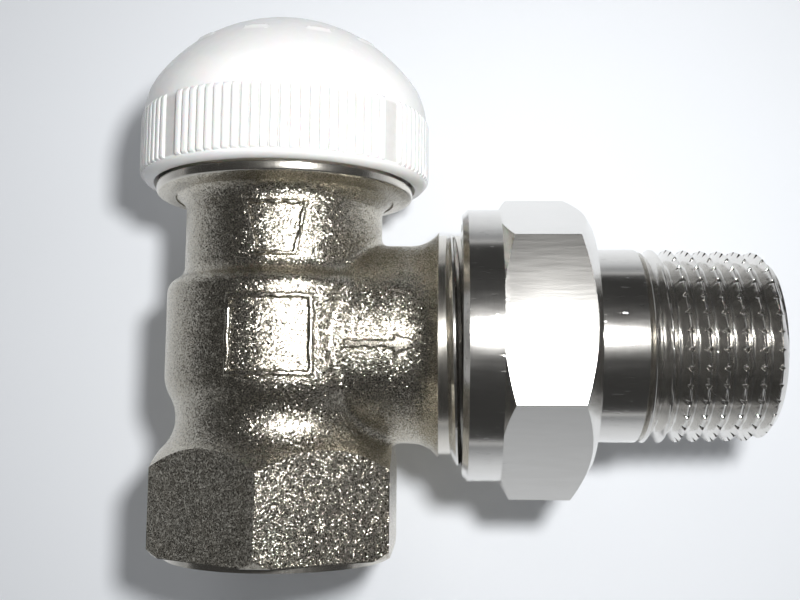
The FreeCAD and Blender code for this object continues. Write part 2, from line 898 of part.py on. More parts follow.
def check_and_write(pieces):
    """Stop on anything that did not build, then write one STEP file for each piece."""
    document.recompute()
    for thing in document.Objects:
        if "Invalid" in thing.State or "Error" in thing.State:
            raise RuntimeError(f"{thing.Label} did not build: {thing.State}")
    os.makedirs("parts", exist_ok=True)
    for piece in pieces:
        shape = piece.Shape
        if shape.isNull() or not shape.isValid():
            raise RuntimeError(f"{piece.Label} has no valid shape")
        shape.exportStep(f"parts/{piece.Label}.step")
        box = shape.BoundBox
        print(
            f"{piece.Label:20s} solids {len(shape.Solids)} volume {shape.Volume:9.1f} "
            f"x {box.XMin:6.2f} {box.XMax:6.2f} y {box.YMin:6.2f} {box.YMax:6.2f} "
            f"z {box.ZMin:6.2f} {box.ZMax:6.2f}"
        )


check_and_write(make_all())
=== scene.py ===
"""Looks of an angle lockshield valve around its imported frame.

Blender works in metres.  Numbers here are millimetres unless a comment says metres.  +Z runs up the spindle,
+X along the tail, and the front is -Y.
"""
import math

import bpy
import bmesh
from mathutils import Matrix, Vector
from mathutils.bvhtree import BVHTree


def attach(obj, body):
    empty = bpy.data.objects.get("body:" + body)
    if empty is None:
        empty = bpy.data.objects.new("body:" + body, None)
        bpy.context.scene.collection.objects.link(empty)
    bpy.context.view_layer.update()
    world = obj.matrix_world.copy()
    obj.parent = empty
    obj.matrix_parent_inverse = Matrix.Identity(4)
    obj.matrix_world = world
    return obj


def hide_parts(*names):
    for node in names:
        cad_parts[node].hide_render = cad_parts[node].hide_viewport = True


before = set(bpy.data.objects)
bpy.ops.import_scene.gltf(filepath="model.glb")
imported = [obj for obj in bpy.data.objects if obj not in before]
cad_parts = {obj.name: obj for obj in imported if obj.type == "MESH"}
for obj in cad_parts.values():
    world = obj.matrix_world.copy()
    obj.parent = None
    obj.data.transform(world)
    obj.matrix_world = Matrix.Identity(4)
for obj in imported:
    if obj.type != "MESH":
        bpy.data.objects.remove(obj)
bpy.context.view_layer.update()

MM = 0.001
TAU = 2 * math.pi
TAIL_Z = 23.0                  # height of the tail's axis
UNION_PITCH = 1.8143           # 14 turns to the inch
CAP_PITCH = 1.5

# Where a material changes: each edge is the two places between which it does
FOOT_EDGE = (0.62, 0.72)       # z, turned below
COLLAR_EDGE = (39.3, 39.42)    # z, turned above
LIP_EDGE = (17.3, 17.4)        # x, turned beyond
BORE_EDGE = (10.55, 10.6)      # from the spindle's axis, turned inside, up to BORE_TOP
BORE_TOP = (42.0, 42.1)        # z
SIDE_BORE_EDGE = (7.3, 7.4)    # from the tail's axis, turned inside, beyond SIDE_BORE_START
SIDE_BORE_START = (5.0, 5.1)   # x
HEX_START = (24.2, 24.5)       # x, the nut's flats begin
HEX_EDGE = (14.0, 14.3)        # from the tail's axis, the flats lie outside
GROOVE_LOW = (41.2, 41.4)      # z, painted shade between the cap's ribs lies above
GROOVE_HIGH = (47.4, 47.9)     # z, and below
GROOVE_INNER = (15.2, 15.3)    # from the spindle's axis, outside
GROOVE_OUTER = (15.90, 16.02)  # from the spindle's axis, inside

# ------------------------------------------------------------------------------------------
# Small builders for node trees
# ------------------------------------------------------------------------------------------
MIX_SOCKETS = {"FLOAT": (2, 3, 0), "VECTOR": (4, 5, 1), "RGBA": (6, 7, 2)}   # low, high, result


class Tree:
    """A node tree, with the few node kinds used here as short calls."""

    def __init__(self, tree):
        self.tree = tree

    def node(self, kind, **settings):
        made = self.tree.nodes.new(kind)
        for key, value in settings.items():
            setattr(made, key, value)
        return made

    def put(self, value, socket):
        if hasattr(value, "links"):
            self.tree.links.new(value, socket)
        else:
            socket.default_value = value

    def fill(self, made, values):
        for value, socket in zip(values, made.inputs):
            self.put(value, socket)
        return made.outputs[0]

    def math(self, operation, *values):
        return self.fill(self.node("ShaderNodeMath", operation=operation), values)

    def vector(self, operation, *values):
        return self.fill(self.node("ShaderNodeVectorMath", operation=operation), values)

    def distance(self, a, b):
        return self.math("SQRT", self.math("ADD", self.math("MULTIPLY", a, a), self.math("MULTIPLY", b, b)))

    def step(self, value, low, high):
        """0 below low, 1 above high, smooth between."""
        made = self.node("ShaderNodeMapRange", interpolation_type="SMOOTHSTEP")
        self.put(value, made.inputs["Value"])
        made.inputs["From Min"].default_value = low
        made.inputs["From Max"].default_value = high
        return made.outputs[0]

    def below(self, value, low, high):
        """1 below low, 0 above high, smooth between."""
        return self.math("SUBTRACT", 1.0, self.step(value, low, high))

    def ramp(self, value, low, high):
        """Value from 0..1 to low..high."""
        made = self.node("ShaderNodeMapRange")
        self.put(value, made.inputs["Value"])
        made.inputs["To Min"].default_value = low
        made.inputs["To Max"].default_value = high
        return made.outputs[0]

    def mix(self, share, low, high, kind="FLOAT"):
        made = self.node("ShaderNodeMix", data_type=kind)
        first, second, result = MIX_SOCKETS[kind]
        self.put(share, made.inputs[0])
        self.put(low, made.inputs[first])
        self.put(high, made.inputs[second])
        return made.outputs[result]

    def blend(self, share, low, high):
        """Mix of two colours."""
        low, high = ((*colour, 1) if isinstance(colour, tuple) else colour for colour in (low, high))
        return self.mix(share, low, high, kind="RGBA")


class Shader(Tree):
    """A material whose textures are placed in millimetres on the object."""

    def __init__(self, name):
        self.material = bpy.data.materials.new(name)
        self.material.use_nodes = True
        super().__init__(self.material.node_tree)
        self.surface = self.tree.nodes["Principled BSDF"]
        self.output = self.tree.nodes["Material Output"]
        scale = self.node("ShaderNodeVectorMath", operation="SCALE")
        self.put(self.node("ShaderNodeTexCoord").outputs["Object"], scale.inputs[0])
        scale.inputs["Scale"].default_value = 1 / MM
        self.place = scale.outputs[0]
        split = self.node("ShaderNodeSeparateXYZ")
        self.put(self.place, split.inputs[0])
        self.x, self.y, self.z = split.outputs

    def from_spindle(self):
        return self.distance(self.x, self.y)

    def from_tail(self):
        return self.distance(self.math("SUBTRACT", self.z, TAIL_Z), self.y)

    def noise(self, scale, detail=2.0, rough=0.5, stretch=None):
        """Noise with scale features to the millimetre, or with as many along each axis as stretch says."""
        made = self.node("ShaderNodeTexNoise")
        self.put(self.vector("MULTIPLY", self.place, stretch) if stretch else self.place, made.inputs["Vector"])
        made.inputs["Scale"].default_value = scale
        made.inputs["Detail"].default_value = detail
        made.inputs["Roughness"].default_value = rough
        return made.outputs["Fac"]

    def bump(self, height, depth):
        """Bump of a height that runs 0..1, depth in millimetres."""
        made = self.node("ShaderNodeBump")
        self.put(height, made.inputs["Height"])
        made.inputs["Strength"].default_value = 1.0
        made.inputs["Distance"].default_value = depth * MM
        return made.outputs[0]

    def facets(self, scale, tilt, normal):
        """The normal given, tipped at random from grain to grain: mostly a little, now and then by up to tilt."""
        made = self.node("ShaderNodeTexVoronoi")
        self.put(self.place, made.inputs["Vector"])
        made.inputs["Scale"].default_value = scale
        centred = self.vector("MULTIPLY_ADD", made.outputs["Color"], (2, 2, 2), (-1, -1, -1))
        cubed = self.vector("MULTIPLY", centred, self.vector("MULTIPLY", centred, centred))
        return self.vector("NORMALIZE", self.vector("MULTIPLY_ADD", cubed, (tilt, tilt, tilt), normal))

    def set(self, **inputs):
        for key, value in inputs.items():
            socket = self.surface.inputs[key.replace("_", " ")]
            self.put((*value, 1) if isinstance(value, tuple) else value, socket)


# ------------------------------------------------------------------------------------------
# Materials
# ------------------------------------------------------------------------------------------


def cast_nickel(name, grit, tilt):
    """Nickel on a sand-grained casting, with the turned areas smooth.  Grit is the grain's depth."""
    s = Shader(name)
    turned = s.below(s.z, *FOOT_EDGE)
    bore = s.math("MULTIPLY", s.below(s.from_spindle(), *BORE_EDGE), s.below(s.z, *BORE_TOP))
    side_bore = s.math("MULTIPLY", s.below(s.from_tail(), *SIDE_BORE_EDGE), s.step(s.x, *SIDE_BORE_START))
    for area in (s.step(s.z, *COLLAR_EDGE), s.step(s.x, *LIP_EDGE), bore, side_bore):
        turned = s.math("MAXIMUM", turned, area)
    grains = s.noise(6.4, detail=2, rough=0.65)
    fine = s.noise(10.5, detail=2, rough=0.6)
    cast_normal = s.facets(8.0, tilt, s.bump(s.math("MULTIPLY_ADD", fine, 0.4, grains), grit))
    turned_normal = s.bump(s.noise(1.0, stretch=(6.0, 6.0, 9.0)), 0.004)
    warm = s.blend(s.noise(0.35), (0.57, 0.525, 0.435), (0.63, 0.60, 0.525))
    pits = s.step(s.noise(6.0), 0.52, 0.66)
    cast_colour = s.blend(s.math("MULTIPLY", pits, 0.7), warm, (0.14, 0.13, 0.105))
    cast_rough = s.ramp(s.step(fine, 0.38, 0.62), 0.13, 0.33)
    turned_rough = s.ramp(s.noise(1.0, detail=1, stretch=(9.0, 0.4, 0.4)), 0.16, 0.30)
    s.set(Base_Color=s.blend(turned, cast_colour, (0.68, 0.65, 0.59)), Metallic=1.0,
          Roughness=s.mix(turned, cast_rough, turned_rough),
          Normal=s.mix(turned, cast_normal, turned_normal, kind="VECTOR"))
    return s.material


def turned_nickel(name, drawn=False):
    """Nickel on a turned piece: fine rings round the tail's axis, a few scratches, or drawn flats on a nut."""
    s = Shader(name)
    rings = s.noise(1.0, detail=3, rough=0.7, stretch=(11.0, 0.35, 0.35))
    smears = s.noise(1.0, stretch=(0.25, 1.4, 1.4))
    scratch = s.step(s.noise(1.0, detail=0, stretch=(1.1, 7.0, 2.2)), 0.72, 0.78)
    height = s.math("SUBTRACT", s.math("MULTIPLY", rings, 0.5), s.math("MULTIPLY", scratch, 0.9))
    rough = s.ramp(s.math("MULTIPLY", s.math("ADD", rings, smears), 0.5), 0.11, 0.25)
    if drawn:
        on_hex = s.math("MULTIPLY", s.step(s.x, *HEX_START), s.step(s.from_tail(), *HEX_EDGE))
        lines = s.noise(1.0, detail=3, rough=0.7, stretch=(0.30, 5.0, 5.0))
        height = s.mix(on_hex, height, s.math("MULTIPLY", lines, 0.12))
        rough = s.mix(on_hex, rough, s.ramp(lines, 0.14, 0.20))
    s.set(Base_Color=s.blend(smears, (0.66, 0.645, 0.615), (0.735, 0.72, 0.69)), Metallic=1.0,
          Roughness=rough, Normal=s.bump(height, 0.006))
    return s.material


def turned_brass():
    """Bare brass, turned on the spindle's axis."""
    s = Shader("turned_brass")
    rings = s.noise(1.0, detail=3, rough=0.7, stretch=(1.2, 1.2, 10.0))
    s.set(Base_Color=s.blend(s.noise(0.5, detail=4), (0.80, 0.60, 0.27), (0.66, 0.47, 0.19)), Metallic=1.0,
          Roughness=s.ramp(rings, 0.18, 0.36), Normal=s.bump(rings, 0.006))
    return s.material


def turned_steel():
    """Bare steel, turned on the spindle's axis."""
    s = Shader("turned_steel")
    rings = s.noise(1.0, detail=3, rough=0.7, stretch=(1.0, 1.0, 10.0))
    s.set(Base_Color=s.blend(s.noise(0.6), (0.58, 0.58, 0.59), (0.66, 0.66, 0.67)), Metallic=1.0,
          Roughness=s.ramp(rings, 0.22, 0.38), Normal=s.bump(rings, 0.005))
    return s.material


def white_plastic():
    """Glossy moulded plastic, faintly uneven, with painted shade darkening the grooves between the grip ribs."""
    s = Shader("white_plastic")
    skin_tone = s.noise(0.9, detail=3)
    specks = s.step(s.noise(4.0), 0.74, 0.80)
    from_axis = s.from_spindle()
    on_skirt = s.math("MULTIPLY", s.step(s.z, *GROOVE_LOW), s.below(s.z, *GROOVE_HIGH))
    outside = s.math("MULTIPLY", s.step(from_axis, *GROOVE_INNER), s.below(from_axis, *GROOVE_OUTER))
    groove = s.math("MULTIPLY", outside, on_skirt)
    plain = s.blend(skin_tone, (0.845, 0.845, 0.835), (0.875, 0.875, 0.87))
    # painted shade: the grooves between the grip ribs are darkened in the colour, standing in for their shadow
    groove_shade = s.math("MULTIPLY", groove, s.ramp(skin_tone, 0.35, 0.75))
    groove_shaded = s.blend(groove_shade, plain, (0.47, 0.455, 0.43))
    s.set(Base_Color=s.blend(s.math("MULTIPLY", specks, 0.25), groove_shaded, (0.60, 0.58, 0.55)),
          Roughness=s.ramp(skin_tone, 0.20, 0.30), Normal=s.bump(skin_tone, 0.02),
          Subsurface_Weight=0.12, Subsurface_Scale=0.0012, IOR=1.49)
    return s.material


def black_rubber():
    """Black rubber with a pale bloom."""
    s = Shader("black_rubber")
    bloom = s.noise(1.6, detail=4)
    s.set(Base_Color=s.blend(bloom, (0.025, 0.025, 0.025), (0.055, 0.055, 0.053)),
          Roughness=s.ramp(bloom, 0.50, 0.68), Normal=s.bump(s.noise(6.0, detail=3), 0.01))
    return s.material


def washer_plastic():
    """White low-friction plastic."""
    s = Shader("washer_plastic")
    cloud = s.noise(0.8, detail=3)
    s.set(Base_Color=s.blend(cloud, (0.80, 0.80, 0.77), (0.88, 0.88, 0.86)),
          Roughness=s.ramp(cloud, 0.38, 0.50), Normal=s.bump(s.noise(5.0), 0.004), Subsurface_Weight=0.1,
          Subsurface_Scale=0.0008)
    return s.material


CAST = cast_nickel("cast_nickel", grit=0.034, tilt=0.34)
MARKS = cast_nickel("cast_marks", grit=0.016, tilt=0.04)     # smoother, so that the marks' edges stay crisp
TURNED = turned_nickel("turned_nickel")
NUT = turned_nickel("nut_nickel", drawn=True)
BRASS = turned_brass()
STEEL = turned_steel()
PLASTIC = white_plastic()
RUBBER = black_rubber()
WASHER = washer_plastic()

FINISH = {
    "valve_body": CAST, "headwork": BRASS, "gland_nut": BRASS, "plug": BRASS, "washer_screw": BRASS,
    "drive_spindle": STEEL, "thrust_washer": WASHER, "union_nut": NUT, "cap": PLASTIC,
    "headwork_seal": RUBBER, "spindle_seal_lower": RUBBER, "spindle_seal_upper": RUBBER,
    "seat_washer": RUBBER, "cap_gasket": RUBBER, "tail_seal": RUBBER,
}
for node, material in FINISH.items():
    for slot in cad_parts[node].material_slots:
        slot.material = material

# ------------------------------------------------------------------------------------------
# Meshes
# ------------------------------------------------------------------------------------------


def finish_mesh(mesh, name, body, material, smooth_angle=35):
    """Turn a bmesh in millimetres into a piece that rides on a body."""
    bmesh.ops.recalc_face_normals(mesh, faces=mesh.faces)
    bmesh.ops.scale(mesh, vec=(MM, MM, MM), verts=mesh.verts)
    data = bpy.data.meshes.new(name)
    mesh.to_mesh(data)
    mesh.free()
    data.shade_smooth()
    data.set_sharp_from_angle(angle=math.radians(smooth_angle))
    piece = bpy.data.objects.new(name, data)
    bpy.context.scene.collection.objects.link(piece)
    data.materials.append(material)
    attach(piece, body)
    return piece


def on_spindle(radius, angle, along):
    """The point at an angle round the spindle's axis."""
    return (radius * math.cos(angle), radius * math.sin(angle), along)


def on_tail(radius, angle, along):
    """The point at an angle round the tail's axis."""
    return (along, -radius * math.sin(angle), TAIL_Z + radius * math.cos(angle))


def skin(mesh, rings, closed=False):
    """Faces from each ring of points to the next, and from the last to the first if closed."""
    for before, after in zip(rings, rings[1:] + (rings[:1] if closed else [])):
        for k in range(len(before)):
            nxt = (k + 1) % len(before)
            mesh.faces.new((before[k], before[nxt], after[nxt], after[k]))


def ease(share):
    """0 up to 0, 1 from 1 on, smooth between."""
    share = min(1.0, max(0.0, share))
    return share * share * (3 - 2 * share)


RIDGE_STEPS = 72        # rings of points in a turn
RIDGE_WIDTH = 0.92      # of the pitch
RIDGE_SUNK = 0.06       # into the root's wall


def thread_ridge(place, start, end, pitch, root, crest, phase, fade):
    """A closed helical ridge from the root radius to the crest radius, which may be smaller for a nut's thread.

    It is right handed: it moves along the axis as the angle grows.  It is sunk a little into the root's wall,
    fades in and out over a part of a turn, and stays between start and end.
    """
    into = RIDGE_SUNK if crest > root else -RIDGE_SUNK
    rise = crest - root
    profile = [(-0.50, -into / rise), (-0.47, 0.02), (-0.11, 0.94), (-0.06, 1.0), (0.06, 1.0), (0.11, 0.94),
               (0.47, 0.02), (0.50, -into / rise)]
    half = pitch * RIDGE_WIDTH / 2
    turns = (end - start - 2 * half) / pitch
    count = max(int(turns * RIDGE_STEPS), 8)
    mesh = bmesh.new()
    rings = []
    for k in range(count + 1):
        turned = k / RIDGE_STEPS
        along = start + half + turned * pitch
        share = ease(min(k, count - k) / RIDGE_STEPS / fade)
        narrow = 0.45 + 0.55 * share
        ring = []
        for across, up in profile:
            radius = root + rise * (up * share if up > 0 else up)
            spot = place(radius, phase + TAU * turned, along + across * pitch * RIDGE_WIDTH * narrow)
            ring.append(mesh.verts.new(spot))
        rings.append(ring)
    skin(mesh, rings)
    mesh.faces.new(rings[0])
    mesh.faces.new(rings[-1][::-1])
    return mesh


def thread(name, place, start, end, pitch, root, crest, body, material, runs_in=None, fade=0.35):
    """A piece of thread.  Where runs_in says where another thread starts, this one lies in its groove."""
    phase = 0.0 if runs_in is None else TAU * (start - runs_in) / pitch + math.pi
    mesh = thread_ridge(place, start, end, pitch, root, crest, phase, fade)
    finish_mesh(mesh, name, body, material)


UNION_START = 17.75
SPIGOT_START = 41.0
thread("union_thread", on_tail, UNION_START, 26.95, UNION_PITCH, 12.06, 13.20, "body", TURNED,
       fade=0.18)
thread("union_nut_thread", on_tail, 19.95, 31.0, UNION_PITCH, 13.27, 12.22, "nut", NUT,
       runs_in=UNION_START)
thread("spigot_thread", on_spindle, SPIGOT_START, 48.4, CAP_PITCH, 13.08, 13.98, "body", TURNED)
thread("cap_thread", on_spindle, 41.3, 49.0, CAP_PITCH, 14.10, 13.22, "cap", PLASTIC,
       runs_in=SPIGOT_START)
thread("inlet_thread", on_spindle, 0.45, 11.0, UNION_PITCH, 10.48, 9.35, "body", TURNED)

# ------------------------------------------------------------------------------------------
# Tailpiece: the taper thread with its notched crests, as one mesh with the shank and the bore
# ------------------------------------------------------------------------------------------
TAIL_START, TAIL_END = 29.2, 52.45
TAIL_BORE = 7.6
HEAD_BACK = 31.15            # where the tail's head ends and its shank starts
SHANK_RADIUS = 10.55
THREAD_START = 39.35
THREAD_RADIUS = 10.50        # of the crests at THREAD_MIDDLE; the taper is 1 in 16 on the diameter
THREAD_MIDDLE = 41.0
THREAD_DEPTH = 1.12
THREAD_SLICES = 22           # rings of points to a pitch
NOTCHES = 34
NOTCH_DEPTH = 0.42
NOTCH_COLUMNS = (-0.97, -0.62, -0.36, -0.27, -0.18, -0.09, 0.0, 0.09, 0.18, 0.27, 0.36, 0.62)   # from the notch
KEY_RIBS = ((31.15, 39.15), (6.4, 7.85), (-1.3, 1.3))   # x, radius and y of the two ribs that a key turns


def tail_outer(along, angle, from_notch):
    """Outer radius of the tail at a point along it and an angle round it."""
    mean = THREAD_RADIUS - (along - THREAD_MIDDLE) / 32
    turn = (along - THREAD_START) / UNION_PITCH - angle / TAU
    number = math.floor(turn)
    flank = abs(turn - number - 0.5) * 2              # 0 at the crest, 1 in the root
    ridge = 1 - min(1.0, max(0.0, (flank - 0.08) / 0.80))
    started = min(1.0, max(0.0, (along - 39.2) / 0.9))
    radius = mean - THREAD_DEPTH * (1 - ridge) * (0.45 + 0.55 * started)
    if number >= 1:
        radius = min(radius, mean - NOTCH_DEPTH + abs(from_notch) * 1.9)
        burr = max(0.0, 1 - abs(abs(from_notch) - 0.31) / 0.08)
        radius += 0.05 * burr * ridge
    return min(radius, 9.12 + (TAIL_END - along) * 1.15)


def tailpiece():
    columns = [(TAU * number / NOTCHES + offset / 10.3, offset)
               for number in range(NOTCHES) for offset in NOTCH_COLUMNS]
    outline = [(TAIL_START, 11.45), (29.6, 11.85), (HEAD_BACK, 11.85), (HEAD_BACK, SHANK_RADIUS),
               (38.45, SHANK_RADIUS), (38.62, 10.38), (38.85, 9.85)]
    along = 39.0
    while along < TAIL_END - 0.02:
        outline.append((along, None))
        along += UNION_PITCH / THREAD_SLICES
    outline += [(TAIL_END, None), (TAIL_END, TAIL_BORE), (TAIL_START, TAIL_BORE)]
    mesh = bmesh.new()
    rings = []
    for along, radius in outline:
        ring = []
        for angle, from_notch in columns:
            here = tail_outer(along, angle, from_notch) if radius is None else radius
            ring.append(mesh.verts.new(on_tail(here, angle, along)))
        rings.append(ring)
    skin(mesh, rings, closed=True)
    for side in (1, -1):
        a, b, c, d, e, f, g, h = (mesh.verts.new((x, y, TAIL_Z + side * r))
                                  for x in KEY_RIBS[0] for r in KEY_RIBS[1] for y in KEY_RIBS[2])
        for face in ((a, b, d, c), (e, g, h, f), (a, e, f, b), (c, d, h, g), (a, c, g, e), (b, f, h, d)):
            mesh.faces.new(face)
    piece = finish_mesh(mesh, "tail_with_thread", "tail", TURNED, smooth_angle=40)
    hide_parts("tailpiece")


tailpiece()

# ------------------------------------------------------------------------------------------
# Cap: the shell with its grip ribs and the low marks round the crown, and the turned edge under it
# ------------------------------------------------------------------------------------------
CAP_WALL = 15.85
CAP_TOP = 59.45
CAP_SHOULDER = 6.6
RIB_HEIGHT = 0.29
RIB_PITCH = 3.5                 # degrees
RIBS_IN_GROUP = 24
RIB_GROUPS = 4
GROUP_TURN = 231.5              # degrees, the middle of one of the plain strips between the groups
CROWN_FOOT = 47.95
HOLLOW_WALL, HOLLOW_STEP, HOLLOW_RADIUS = 14.1, 50.0, 12.6
MARK_TURNS = (229.0, 262.0, 295.0, 326.0)     # degrees
MARK_RADIUS = 11.3
MARK_HALF_LENGTH, MARK_HALF_WIDTH = 1.55, 0.42
MARK_HEIGHT = 0.16


def crown(radius, foot, top, shoulder, count):
    """Points of a crown of two arcs, from the wall to the middle."""
    height, inset = top - foot, radius - shoulder
    wide = (inset * inset + height * height - shoulder * shoulder) / ((height - shoulder) * 2)
    meet = math.atan2(wide - height, inset)
    points = []
    for k in range(count // 3 + 1):
        angle = meet * k * 3 / count
        points.append((inset + shoulder * math.cos(angle), foot + shoulder * math.sin(angle)))
    for k in range(1, count + 1):
        angle = meet + (math.pi / 2 - meet) * k / count
        points.append((wide * math.cos(angle), top - wide + wide * math.sin(angle)))
    return points


def cap_columns():
    """Angles round the cap, each with how much of the rib's height it carries."""
    rib = ((-1.45, 0.0), (-1.30, 0.45), (-1.12, 0.88), (-0.85, 1.0), (0.0, 1.04), (0.85, 1.0), (1.12, 0.88),
           (1.30, 0.45), (1.45, 0.0), (1.75, 0.0))
    columns = []
    for group in range(RIB_GROUPS):
        strip = GROUP_TURN + 360 / RIB_GROUPS * group
        columns += [(math.radians(strip - 2.6 + 5.2 * k / 5), 0.0) for k in range(6)]
        for number in range(RIBS_IN_GROUP):
            centre = strip + 180 / RIB_GROUPS + (number - (RIBS_IN_GROUP - 1) / 2) * RIB_PITCH
            columns += [(math.radians(centre + offset), share) for offset, share in rib]
    return columns


def crown_mark(angle, radius):
    """Height of the low lens-shaped marks at a point of the crown."""
    tall = 0.0
    for turned in MARK_TURNS:
        off = (angle - math.radians(turned) + math.pi) % TAU - math.pi
        across = off * MARK_RADIUS / MARK_HALF_LENGTH
        if abs(across) < 1:
            half = MARK_HALF_WIDTH * (1 - across * across)
            inside = 1 - abs(radius - MARK_RADIUS - 0.25 * across * across) / half
            tall = max(tall, ease(inside * 1.6))
    return MARK_HEIGHT * tall


def cap_shell():
    columns = cap_columns()
    mouth = [(14.62, 40.45), (14.85, 40.46), (15.25, 40.56), (15.58, 40.74), (15.78, 40.96), (CAP_WALL, 41.12)]
    skirt = [(41.15, 0.0), (41.30, 0.8), (41.42, 1.0), (43.0, 1.0), (45.0, 1.0), (47.0, 1.0), (47.5, 0.95),
             (47.72, 0.7), (47.9, 0.25)]          # height, and how much of the ribs stands out there
    top = crown(CAP_WALL, CROWN_FOOT, CAP_TOP, CAP_SHOULDER, 66)
    hollow = crown(HOLLOW_RADIUS, HOLLOW_STEP, 57.35, 4.6, 24)
    mesh = bmesh.new()

    def plain_ring(radius, level):
        return [mesh.verts.new(on_spindle(radius, angle, level)) for angle, _ in columns]

    outside = [plain_ring(radius, level) for radius, level in mouth]
    for level, share in skirt:
        outside.append([mesh.verts.new(on_spindle(CAP_WALL + RIB_HEIGHT * share * rib, angle, level))
                        for angle, rib in columns])
    for radius, level in top[:-1]:
        near_marks = abs(radius - MARK_RADIUS) < 1
        lifts = [crown_mark(angle, radius) if near_marks else 0.0 for angle, _ in columns]
        outside.append([mesh.verts.new(on_spindle(radius + lift * 0.6, angle, level + lift * 0.8))
                        for (angle, _), lift in zip(columns, lifts)])
    inside = [plain_ring(radius, level) for radius, level in
              [(HOLLOW_WALL, 41.0), (HOLLOW_WALL, HOLLOW_STEP), (HOLLOW_RADIUS, HOLLOW_STEP)] + hollow[1:-1]]
    skin(mesh, outside)
    skin(mesh, [outside[0]] + inside)
    for last, tip in ((outside[-1], top[-1][1]), (inside[-1], hollow[-1][1])):
        peak = mesh.verts.new((0, 0, tip))
        for k in range(len(last)):
            mesh.faces.new((last[k], last[(k + 1) % len(last)], peak))
    piece = finish_mesh(mesh, "cap_shell", "cap", PLASTIC, smooth_angle=42)
    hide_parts("cap")


def flange_edge():
    """The turned edge of the body's flange, just under the cap's mouth."""
    outline = [(12.2, 38.95), (13.3, 39.12), (14.0, 39.32), (14.22, 39.42), (14.3, 39.55), (14.3, 40.25),
               (14.2, 40.36), (12.4, 40.36)]
    steps = 240
    mesh = bmesh.new()
    rings = [[mesh.verts.new(on_spindle(radius, TAU * k / steps, level)) for k in range(steps)]
             for radius, level in outline]
    skin(mesh, rings, closed=True)
    finish_mesh(mesh, "flange_edge", "body", CAST)


cap_shell()
flange_edge()

# ------------------------------------------------------------------------------------------
# Raised marks on the front of the casting
# ------------------------------------------------------------------------------------------
MARK_SUNK = 0.05        # how far a mark's rim lies under the surface
MARK_ROOT = 0.25        # and its back


class Arrow:
    """Flow arrow that points along +X.  Called with a point, it says how far inside the point is."""

    def __init__(self, tail, neck, tip, level, half_shaft, half_head):
        self.tail, self.neck, self.tip, self.level = tail, neck, tip, level
        self.half_shaft, self.half_head = half_shaft, half_head
        self.box = (tail - 0.5, level - half_head - 0.5, tip + 0.5, level + half_head + 0.5)

    def __call__(self, x, z):
        up = abs(z - self.level)
        shaft = min(x - self.tail, self.neck + 0.6 - x, self.half_shaft - up)
        slope = self.half_head / (self.tip - self.neck)
        head = min(x - self.neck, ((self.tip - x) * slope - up) / math.hypot(1, slope))
        return max(shaft, head)


class Frame:
    """A four-sided frame of one line's width, leaning by slant.  Called with a point, as the arrow is."""

    def __init__(self, left, bottom, right, top, line, slant=0.0):
        self.left, self.bottom, self.right, self.top = left, bottom, right, top
        self.line, self.slant = line, slant
        self.box = (left - 0.3, bottom - 0.3, right + 0.3, top + 0.3)

    def __call__(self, x, z):
        pull = self.slant * (self.top - z) / (self.top - self.bottom)
        inside = min(x - self.left - pull, self.right - pull - x, z - self.bottom, self.top - z)
        return min(inside, self.line - inside)


def surface_of(node):
    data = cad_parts[node].data
    return BVHTree.FromPolygons([vertex.co.copy() for vertex in data.vertices],
                                [tuple(polygon.vertices) for polygon in data.polygons])


BODY_SURFACE = surface_of("valve_body")


def raised(name, outline, height, cell, soft):
    """A raised mark laid on the front of the body, on a grid of cells.

    Its height rises over soft, and its rim wavers a little, as a cast one does.
    """
    low_x, low_z, high_x, high_z = outline.box
    columns = int((high_x - low_x) / cell) + 1
    rows = int((high_z - low_z) / cell) + 1
    mesh = bmesh.new()
    grid = {}
    for i in range(columns + 1):
        for j in range(rows + 1):
            x, z = low_x + i * cell, low_z + j * cell
            inside = outline(x, z) + 0.05 * (math.sin(3.1 * x + 1.7 * z) + math.sin(2.3 * z - 4.1 * x + 2))
            if inside < -cell:
                continue
            spot, normal, _, _ = BODY_SURFACE.ray_cast(Vector((x * MM, -0.05, z * MM)), Vector((0, 1, 0)))
            if spot is None:
                continue
            lift = -MARK_SUNK + (height + MARK_SUNK) * ease(inside / soft)
            grid[i, j] = (mesh.verts.new((spot + normal * lift * MM) / MM),
                          mesh.verts.new((spot - normal * MARK_ROOT * MM) / MM))
    cells = [(i, j) for i in range(columns) for j in range(rows)
             if all(key in grid for key in ((i, j), (i + 1, j), (i + 1, j + 1), (i, j + 1)))]
    filled = set(cells)
    for i, j in cells:
        keys = ((i, j), (i + 1, j), (i + 1, j + 1), (i, j + 1))
        beside = ((i, j - 1), (i + 1, j), (i, j + 1), (i - 1, j))
        mesh.faces.new([grid[key][0] for key in keys])
        mesh.faces.new([grid[key][1] for key in reversed(keys)])
        for a, b, neighbour in zip(keys, keys[1:] + keys[:1], beside):
            if neighbour not in filled:
                mesh.faces.new((grid[a][0], grid[a][1], grid[b][1], grid[b][0]))
    loose = [vertex for vertex in mesh.verts if not vertex.link_faces]
    bmesh.ops.delete(mesh, geom=loose, context="VERTS")
    finish_mesh(mesh, name, "body", MARKS, smooth_angle=60)


raised("flow_arrow", Arrow(7.8, 12.8, 16.5, 22.4, 0.5, 1.15), height=0.36, cell=0.09, soft=0.22)
raised("belly_frame", Frame(-3.9, 18.95, 5.15, 27.5, 0.78), height=0.34, cell=0.11, soft=0.24)
raised("neck_frame", Frame(-2.5, 31.3, 4.15, 37.2, 0.62, slant=1.1), height=0.32, cell=0.10, soft=0.22)

# ------------------------------------------------------------------------------------------
# Stage, lamps and camera, in metres
# ------------------------------------------------------------------------------------------
WALL_Y = 0.0173
FLOOR_Z = -0.012
PAPER_HALF = 0.6
PAPER_MIRRORED = 0.05       # extra light of the wall where the metal mirrors it
ROOM_LIT = 0.20             # the room's light on the object
ROOM_SEEN = 0.93            # and how bright it is to the camera
ROOM_MIRRORED_LESS = 0.17   # and by how much less it is mirrored


